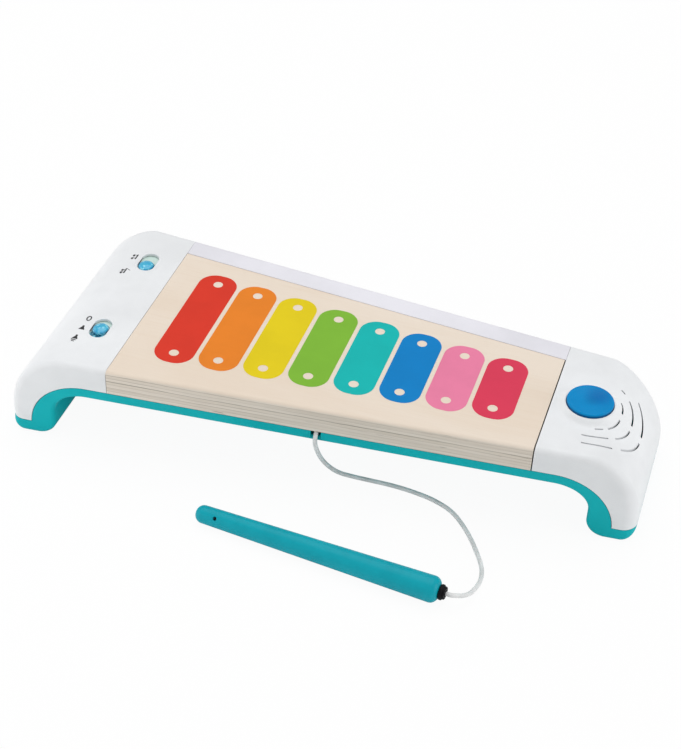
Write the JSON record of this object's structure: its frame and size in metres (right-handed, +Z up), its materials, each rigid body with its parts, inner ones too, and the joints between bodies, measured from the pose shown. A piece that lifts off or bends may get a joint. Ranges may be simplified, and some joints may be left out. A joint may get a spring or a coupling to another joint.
{
  "type": "toy xylophone",
  "caption": "Toy touch xylophone: a tapering plywood key panel with coloured bars on a moulded bench, with a push button, slide switches and a stylus on a cord.",
  "frame": {"origin": "on the floor under the middle of the toy and its stylus (centre of the bounding box, bottom)", "axes": "+X runs along the row of bars towards the push button, +Y away from the player, +Z up"},
  "size_m": [0.403, 0.2228, 0.0675],
  "materials": {
    "battery_wrap": "printed wrap, plain",
    "black_plastic": "matt black",
    "black_rubber": "matt black",
    "blue_plastic": "glossy blue",
    "blue_print": "printed colour, plain",
    "circuit_board": "green solder mask",
    "clear_blue_plastic": "glossy, slightly clear blue",
    "crimson_print": "printed colour, plain",
    "ferrite": "sintered ferrite",
    "frosted_plastic": "frosted, faintly violet",
    "green_print": "printed colour, plain",
    "orange_print": "printed colour, plain",
    "pink_print": "printed colour, plain",
    "plywood": "clear-sealed plywood",
    "red_print": "printed colour, plain",
    "silicone": "pale silicone",
    "steel": "bright",
    "teal_paint": "satin teal paint over wood",
    "teal_plastic": "satin teal moulding",
    "teal_print": "printed colour, plain",
    "white_cord": "soft white jacket",
    "white_plastic": "satin white moulding",
    "yellow_print": "printed colour, plain",
    "zinc": "dull zinc plate"
  },
  "bodies": {
    "bench": {"bottom_housing": "teal_plastic", "left_top_housing": "white_plastic", "right_top_housing": "white_plastic", "rear_strip": "frosted_plastic", "wood_panel": "plywood", "note_bar_red": "red_print", "note_bar_orange": "orange_print", "note_bar_yellow": "yellow_print", "note_bar_green": "green_print", "note_bar_teal": "teal_print", "note_bar_blue": "blue_print", "note_bar_pink": "pink_print", "note_bar_crimson": "crimson_print", "sensor_board": "circuit_board", "housing_screw_1": "steel", "housing_screw_2": "steel", "housing_screw_3": "steel", "housing_screw_4": "steel", "housing_screw_5": "steel", "housing_screw_6": "steel", "housing_screw_7": "steel", "housing_screw_8": "steel", "panel_screw_1": "steel", "panel_screw_2": "steel", "panel_screw_3": "steel", "panel_screw_4": "steel", "switch_board_screw_1": "steel", "switch_board_screw_2": "steel", "main_board_screw_1": "steel", "main_board_screw_2": "steel", "sensor_screw_1": "steel", "sensor_screw_2": "steel", "sensor_screw_3": "steel", "main_board": "circuit_board", "switch_board": "circuit_board", "button_dome": "silicone", "speaker_frame": "steel", "speaker_cone": "black_plastic", "speaker_magnet": "ferrite", "mode_switch_can": "zinc", "power_switch_can": "zinc", "battery_1": "battery_wrap", "contact_spring_1": "steel", "battery_2": "battery_wrap", "contact_spring_2": "steel", "battery_3": "battery_wrap", "contact_spring_3": "steel", "contact_strip_left": "steel", "contact_strip_right": "steel", "cord": "white_cord", "cord_clamp": "black_plastic"},
    "button": {"push_button": "blue_plastic"},
    "mode_switch": {"mode_switch_knob": "clear_blue_plastic"},
    "power_switch": {"power_switch_knob": "clear_blue_plastic"},
    "stylus": {"stylus_body": "teal_paint", "stylus_collar": "black_rubber", "stylus_contact": "steel"},
    "battery_hatch": {"battery_door": "teal_plastic", "battery_door_screw": "steel"}
  },
  "joints": [
    {"name": "button_press", "type": "slide", "parent": "bench", "child": "button", "axis": [0, 0, -1], "range_m": [0, 0.002], "stiffness_N_per_m": 600, "springref_m": -0.0008, "deforming": ["button_dome"]},
    {"name": "mode_switch_slide", "type": "slide", "parent": "bench", "child": "mode_switch", "axis": [0, 1, 0], "range_m": [0, 0.0075]},
    {"name": "power_switch_slide", "type": "slide", "parent": "bench", "child": "power_switch", "axis": [0, 1, 0], "range_m": [-0.00375, 0.00375]},
    {"name": "stylus_lift", "type": "slide", "parent": "bench", "child": "stylus", "axis": [0, 0, 1], "range_m": [0, 0.09]},
    {"name": "battery_door_drop", "type": "slide", "parent": "bench", "child": "battery_hatch", "axis": [0, 0, -1], "range_m": [0, 0.025]}
  ]
}
